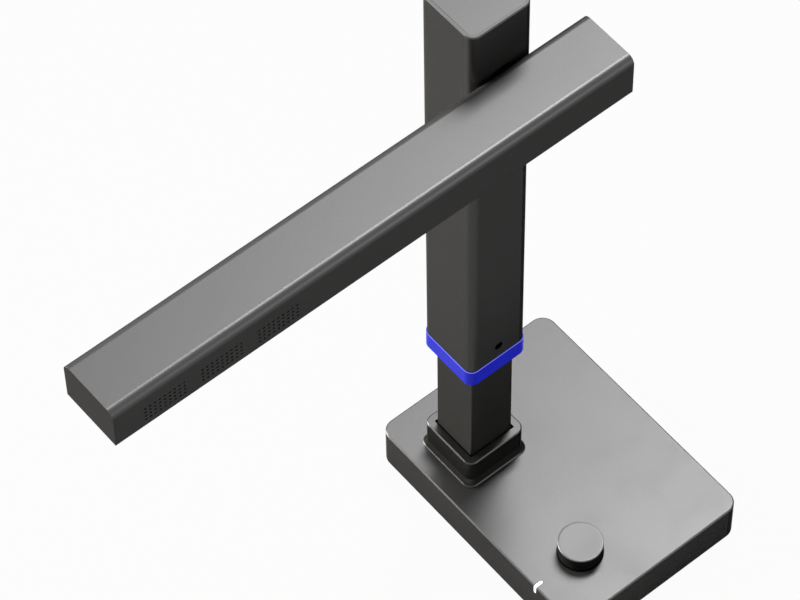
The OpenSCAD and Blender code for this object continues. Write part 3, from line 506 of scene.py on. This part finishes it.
def make_dial():
    low, high = box_mm("dial_cap")
    centre = middle_mm("dial_cap")[:2]
    radius = (high[0] - low[0]) / 2
    bottom, top = low[2], high[2]
    wall = 1.9
    inner_roof = top - 2
    rim = 0.55
    rim_steps = 8
    neck = top - rim - 0.75
    neck_radius = radius - 0.35
    grip_radius = radius - 0.02
    ridges = 72
    sides_per_ridge = 6
    ridge_depth = 0.22
    knurl_rows = 10
    knurl_low, knurl_high = bottom + 0.7, neck - 0.35

    inside = [(radius - wall, inner_roof), (radius - wall, bottom + 0.3), (radius - 1.6, bottom)]
    foot = [(radius - 0.5, bottom), (radius - 0.25, bottom + 0.1), (grip_radius, bottom + 0.45)]
    profile = inside + foot
    knurl_first = len(profile)
    for i in range(knurl_rows + 1):
        profile.append((grip_radius, knurl_low + (knurl_high - knurl_low) * i / knurl_rows))
    knurl_last = len(profile) - 1
    profile += [(radius - 0.05, neck - 0.1), (neck_radius, neck), (neck_radius, neck + 0.3)]
    face_first = len(profile) - 1
    profile += [(radius - 0.08, neck + 0.36), (radius, neck + 0.45)]
    profile += arc_points(radius - rim, top - rim, rim, 0, 90, rim_steps)
    dished = [(radius - rim - 0.9, 0.01), (radius * 0.55, 0.05), (radius * 0.25, 0.08), (0, 0.09)]
    profile += [(place, top - depth) for place, depth in dished]

    face_look, side_look, rim_look = 0, 1, 2
    rim_first = face_first + 2
    looks = [side_look] * face_first + [face_look] * (len(profile) - 1 - face_first)
    for row in range(rim_first, rim_first + rim_steps):
        looks[row] = rim_look

    def knurl(row, angle):
        if not knurl_first <= row <= knurl_last:
            return 0.0
        return -ridge_depth / 2 * (1 + math.cos(ridges * angle))

    dial = Build()
    dial.lathe(centre, profile, ridges * sides_per_ridge, looks, knurl)
    dial.finish("dial_grip", "dial", (dial_face, dial_side, dial_rim), ("dial_cap",), 40)


# The seat under the dial, wider than the dial by 0.35 mm and near-black so it fills the gap under the
# dial: painted shade.
def make_dial_seat():
    low, high = box_mm("dial_seat")
    cap_low, cap_high = box_mm("dial_cap")
    bottom, top = low[2], high[2]
    bore = 4.6
    chamfer = 0.12
    radius = (cap_high[0] - cap_low[0]) / 2 + 0.35
    profile = [(bore, bottom), (radius, bottom), (radius, top - chamfer)]
    profile += [(radius - chamfer, top), (bore, top)]
    seat = Build()
    seat.lathe(middle_mm("dial_seat")[:2], profile, 96)
    seat.finish("dial_seat_painted_shade", "base", (painted_shade_black,), ("dial_seat",))


make_dial()
make_dial_seat()


# A pale glowing strip along the upper edge of the blue ring: a painted highlight where the ring's top edge
# catches the light

def make_ring_painted_highlight():
    low, high = box_mm("accent_ring")
    top = box_mm("outer_sleeve")[0][2]
    outer = (high[0] - low[0]) / 2 + 0.01
    corner = 5.0
    thickness = 0.3
    chamfer = 0.12
    bottom = top - 0.5
    outside = [(outer, bottom), (outer, top - 0.3), (outer - chamfer, top - chamfer)]
    shape = outside + [(outer - thickness, bottom)]
    rings = [rounded_square((0, 0), half, half, corner - outer + half, z, 10) for half, z in shape]
    highlight_strip = Build()
    highlight_strip.loops(rings + rings[:1])
    highlight_strip.finish("ring_painted_highlight", "sleeve", (ring_edge_painted_highlight,))


# The grub screw at the bottom of its hole, screw and hole walls near-black as painted shade

def make_set_screw():
    low, high = box_mm("guide_set_screw")
    face = box_mm("outer_sleeve")[1][0]
    y, z = middle_mm("guide_set_screw")[1:]
    bore = (high[1] - low[1]) / 2
    flange = bore + 0.6
    flange_back, flange_front = face - 0.01, face + 0.03
    floor_x = face - 1.7
    recess = 1.0
    sides = 48
    profile = [(bore, low[0]), (bore, flange_back), (flange, flange_back), (flange, flange_front)]
    profile += [(bore - 0.1, flange_front), (bore - 0.16, floor_x), (recess, floor_x)]
    screw = Build()
    screw.lathe((0, 0), profile, sides)
    steps = []
    for depth, radius in ((0, recess), (0.3, 0.98), (0.45, 0.3)):
        angles = [2 * math.pi * i / sides for i in range(sides)]
        steps.append([(radius * math.cos(a), radius * math.sin(a), floor_x - depth) for a in angles])
    screw.loops(steps, close_end=True)
    screw.points = [(x, y + a, z + b) for a, b, x in screw.points]
    screw.finish("set_screw_painted_shade", "sleeve", (painted_shade_black,), ("guide_set_screw",))


make_ring_painted_highlight()
make_set_screw()


# Screw heads with a cross recess under the arm

def cross_outline(radius, width, turn):
    """The twelve corners of a cross recess."""
    points = []
    half = width / 2
    for quarter in range(4):
        angle = turn + quarter * math.pi / 2
        c, s = math.cos(angle), math.sin(angle)
        for x, y in ((radius, -half), (radius, half), (half, half)):
            points.append((x * c - y * s, x * s + y * c))
    return points


def add_cross_head(build, centre, face_z, rise, radius, depth, turn):
    """A head that faces down: rise is its thickness above the face, depth that of its recess."""
    outline = cross_outline(radius * 0.52, radius * 0.26, turn)
    angles = [math.atan2(y, x) for x, y in outline]
    edge = 0.12

    def circle(share, z):
        size = radius * share
        return [(centre[0] + size * math.cos(a), centre[1] + size * math.sin(a), z) for a in angles]

    def recess(share, z):
        return [(centre[0] + x * share, centre[1] + y * share, z) for x, y in outline]

    rings = [circle(0.55, face_z + rise), circle(1, face_z + edge), circle(0.95, face_z)]
    rings += [recess(1, face_z), recess(0.7, face_z + depth)]
    build.loops(rings, close_start=True, close_end=True)


def make_arm_screws():
    low, high = box_mm("arm_cover_screws")
    cover_gap = 0.1
    cover_end = box_mm("arm_cover")[0][1] - cover_gap
    middle = middle_mm("arm_cover_screws")[0]
    radius = 2.0
    rise = 1.0
    recess_depth = 0.6
    side_offset = (high[0] - low[0]) / 2 - radius
    rows = [low[1] + radius, cover_end + 75, cover_end + 200, high[1] - radius]
    screws = Build()
    turns = random.Random(7)
    for y in rows:
        for side in (-1, 1):
            centre = (middle + side * side_offset, y)
            add_cross_head(screws, centre, low[2], rise, radius, recess_depth, turns.uniform(0, 1.5))
    screws.finish(
        "arm_screw_heads", "arm", (MATERIALS["screw_steel"],), ("arm_cover_screws",)
    )


make_arm_screws()


# The lens barrel: a grooved bezel round the window and stepped baffles in front of the lens

def make_lens_barrel():
    low, high = box_mm("lens_barrel")
    window_low, window_high = box_mm("lens_window")
    face, top = low[2], high[2]
    outer = (high[0] - low[0]) / 2
    window = (window_high[0] - window_low[0]) / 2
    bore = window - 1
    roof = top - 2
    element_front = box_mm("lens_element")[0][2]
    ledge = face + 1.8
    seat = window + 0.05
    flange_top = face + 2.1
    body = outer - 0.3

    teeth = 5
    tooth = 0.45
    tooth_width = 0.12
    teeth_top = element_front - 0.3
    pitch = (teeth_top - ledge) / teeth
    profile = [(0, roof), (bore, roof), (bore, element_front - 0.1)]
    for i in range(teeth):
        z = teeth_top - i * pitch
        profile += [(bore - tooth, z), (bore - tooth, z - tooth_width), (bore, z - pitch + 0.05)]
    profile += [(bore, ledge), (seat, ledge), (seat, face + 0.35), (window + 0.4, face)]

    groove = 0.22
    profile += [(outer - 1.15, face), (outer - 1.05, face + groove), (outer - 0.85, face + groove)]
    profile += [(outer - 0.75, face), (outer - 0.2, face), (outer, face + 0.2), (outer, flange_top)]
    profile += [(body, flange_top), (body, top), (0, top)]
    barrel = Build()
    barrel.lathe(middle_mm("lens_barrel")[:2], profile, 96)
    barrel.finish("camera_barrel", "arm", (MATERIALS["dark_cover"],), ("lens_barrel",), 25)


make_lens_barrel()


# The two diffusers, ribbed along the arm

def make_diffusers():
    low, high = box_mm("light_diffusers")
    arm_end = box_mm("arm_housing")[0][1]
    camera_start, camera_end = arm_end + 44, arm_end + 82
    gap = 0.1
    spans = [(low[1], camera_start - gap), (camera_end + gap, high[1])]
    ribs = 18
    rib_depth = 0.16
    margin = 0.8
    chamfer = 0.1
    pitch = (high[0] - low[0] - 2 * margin) / ribs
    left, right = low[0], high[0]
    face, back = low[2], high[2]
    outline = [(left, back), (left, face + chamfer), (left + chamfer, face)]
    for i in range(ribs):
        x = left + margin + i * pitch
        outline += [(x, face), (x + pitch * 0.25, face + rib_depth), (x + pitch * 0.75, face + rib_depth)]
    outline += [(right - margin, face), (right - chamfer, face), (right, face + chamfer), (right, back)]
    sheets = Build()
    for span in spans:
        rings = [[(x, y, z) for x, z in outline] for y in span]
        sheets.loops(rings, close_start=True, close_end=True)
    sheets.finish(
        "ribbed_diffusers", "arm", (MATERIALS["diffuser"],), ("light_diffusers",), 20
    )


make_diffusers()


# The pad: a slab with a raised border and a field of square studs

def make_pad():
    low, high = box_mm("non_slip_pad")
    face, back = low[2], high[2]
    centre = middle_mm("non_slip_pad")[:2]
    half_width = (high[0] - low[0]) / 2
    half_depth = (high[1] - low[1]) / 2
    corner = 5.0
    least_corner = 0.8
    border = 3.2
    groove = 0.45
    chamfer = 0.15

    def outline(inset, z):
        radius = max(corner - inset, least_corner)
        return rounded_square(centre, half_width - inset, half_depth - inset, radius, z, 8)

    slab = [outline(0, back), outline(0, face + chamfer), outline(chamfer, face)]
    slab += [outline(border - 0.1, face), outline(border, face + groove)]
    pad = Build()
    pad.loops(slab, close_start=True, close_end=True)

    pitch = 5.0
    half_stud = 2.0
    margin = border + 1.0
    columns = int((high[0] - low[0] - 2 * margin) // pitch)
    rows = int((high[1] - low[1] - 2 * margin) // pitch)
    x_start = (low[0] + high[0] - columns * pitch) / 2
    y_start = (low[1] + high[1] - rows * pitch) / 2

    def stud(x, y, half, z):
        corners = ((-half, -half), (half, -half), (half, half), (-half, half))
        return [(x + dx, y + dy, z) for dx, dy in corners]

    for column in range(columns):
        for row in range(rows):
            x = x_start + (column + 0.5) * pitch
            y = y_start + (row + 0.5) * pitch
            rings = [stud(x, y, half_stud, face + groove), stud(x, y, half_stud, face + 0.1)]
            rings.append(stud(x, y, half_stud - chamfer, face))
            pad.loops(rings, close_end=True)
    pad.finish("studded_pad", "base", (MATERIALS["pad_rubber"],), ("non_slip_pad",), 30)


make_pad()


# Contacts in the data socket, and the pin of the power socket

contact_gold = plain_metal("contact_gold", (0.80, 0.50, 0.16), 0.28, (1, 0.1, 1))


def make_contacts():
    high = box_mm("data_socket")[1]
    mouth = high[1]
    tongue_z = high[2] - 2.2
    count = 6
    pitch = 1.04
    half_width = 0.2
    thickness = 0.06
    first = middle_mm("data_socket")[0] - 2.6
    contacts = Build()
    for i in range(count):
        x = first + i * pitch
        for z in (tongue_z - 0.41, tongue_z + 0.35):
            contacts.bar((x - half_width, mouth - 5.6, z), (x + half_width, mouth - 1.35, z + thickness))
    contacts.finish("data_contacts", "base", (contact_gold,))


def make_power_pin():
    middle_x, _, middle_z = middle_mm("power_socket")
    mouth = box_mm("power_socket")[1][1]
    root, tip = -10.0, -0.8
    radius = 0.65
    round_size = 0.4
    profile = [(0, root), (radius, root), (radius, tip - round_size)]
    profile += arc_points(radius - round_size, tip - round_size, round_size, 0, 90, 4) + [(0, tip)]
    pin = Build()
    pin.lathe((0, 0), profile, 24)
    pin.points = [(middle_x + x, mouth + z, middle_z + y) for x, y, z in pin.points]
    pin.finish("power_pin", "base", (contact_gold,))


make_contacts()
make_power_pin()


# The floor, the world and the lamps

def make_floor():
    """A wide square just under the pad."""
    floor_mesh = bpy.data.meshes.new("floor")
    half = 6.0
    drop = 0.2 * MM
    corners = [(-half, -half, 0), (half, -half, 0), (half, half, 0), (-half, half, 0)]
    floor_mesh.from_pydata(corners, [], [(0, 1, 2, 3)])
    floor = bpy.data.objects.new("floor", floor_mesh)
    floor.location.z = -drop
    bpy.context.scene.collection.objects.link(floor)
    return floor


def seen_directly(tree):
    """1 for camera, glossy and transmission rays."""
    path = tree.nodes.new("ShaderNodeLightPath")
    total = None
    for kind in ("Is Camera Ray", "Is Glossy Ray", "Is Transmission Ray"):
        if total is None:
            total = path.outputs[kind]
            continue
        larger = tree.nodes.new("ShaderNodeMath")
        larger.operation = "MAXIMUM"
        tree.links.new(total, larger.inputs[0])
        tree.links.new(path.outputs[kind], larger.inputs[1])
        total = larger.outputs[0]
    return total


FLOOR_COLOUR = (0.30, 0.30, 0.30)
FLOOR_WHITE_SHARE = 0.96


def floor_material():
    """Grey to the light, nearly white to the camera and to mirrors, and clear from below."""
    s = Shader("floor_material")
    tree = s.tree
    s.set(Base_Color=s.mix(s.noise(3, 2), FLOOR_COLOUR, scaled(FLOOR_COLOUR, 1.03)), Roughness=0.9)
    s.bsdf.inputs["Specular IOR Level"].default_value = 0.0
    white = s.add("Emission", Color=(1, 1, 1, 1), Strength=1.0)
    share = s.math("MULTIPLY", seen_directly(tree), FLOOR_WHITE_SHARE)
    lifted = tree.nodes.new("ShaderNodeMixShader")
    tree.links.new(share, lifted.inputs[0])
    tree.links.new(s.bsdf.outputs[0], lifted.inputs[1])
    tree.links.new(white.outputs[0], lifted.inputs[2])
    through = tree.nodes.new("ShaderNodeMixShader")
    clear = tree.nodes.new("ShaderNodeBsdfTransparent")
    tree.links.new(s.add("NewGeometry").outputs["Backfacing"], through.inputs[0])
    tree.links.new(lifted.outputs[0], through.inputs[1])
    tree.links.new(clear.outputs[0], through.inputs[2])
    tree.links.new(through.outputs[0], s.output.inputs["Surface"])
    return s.material


WORLD_LIGHT = 0.07


def make_world():
    """White behind the object, and a faint even light on it."""
    world = bpy.data.worlds.new("studio")
    bpy.context.scene.world = world
    world.use_nodes = True
    tree = world.node_tree
    background = tree.nodes["Background"]
    background.inputs["Color"].default_value = (1, 1, 1, 1)
    strength = tree.nodes.new("ShaderNodeMapRange")
    strength.inputs["To Min"].default_value = WORLD_LIGHT
    strength.inputs["To Max"].default_value = 1.0
    tree.links.new(seen_directly(tree), strength.inputs["Value"])
    tree.links.new(strength.outputs[0], background.inputs["Strength"])


SUBJECT = Vector((0.02, -0.08, 0.2))
ARM_FRONT = Vector((0, -0.12, 0.38))


def softbox(
    name, direction, distance, size, radiance, colour=(1, 1, 1), target=SUBJECT, spread=180, upright=False
):
    """A rectangular lamp that way from its target; its power follows from the radiance of its face."""
    data = bpy.data.lights.new(name, "AREA")
    data.shape = "RECTANGLE"
    data.size, data.size_y = size
    data.energy = radiance * math.pi * size[0] * size[1]
    data.color = colour
    data.spread = math.radians(spread)
    lamp = bpy.data.objects.new(name, data)
    away = Vector(direction).normalized()
    lamp.location = target + away * distance
    across = Vector((-away.y, away.x, 0)) if upright else Vector((1, 0, 0)) - away * away.x
    across.normalize()
    along = away.cross(across)
    turn = Matrix([across, along, away]).transposed()
    lamp.rotation_euler = turn.to_euler()
    lamp.visible_camera = False
    bpy.context.scene.collection.objects.link(lamp)


make_floor().data.materials.append(floor_material())
make_world()
softbox(
    "key",
    direction=(-0.237, 0.483, 0.83),
    distance=3.0,
    size=(0.7, 1.8),
    radiance=25.5,
    colour=(0.98, 0.99, 1.02),
)
softbox(
    "side",
    direction=(0.90, 0.35, 0.29),
    distance=2.2,
    size=(0.5, 1.2),
    radiance=2.7,
    upright=True,
)
softbox(
    "front_left",
    direction=(-0.82, -0.57, 0.06),
    distance=1.2,
    size=(0.75, 0.85),
    radiance=6.2,
    colour=(1, 0.98, 0.93),
    target=ARM_FRONT,
    spread=80,
    upright=True,
)

bpy.context.scene.view_settings.view_transform = "Standard"
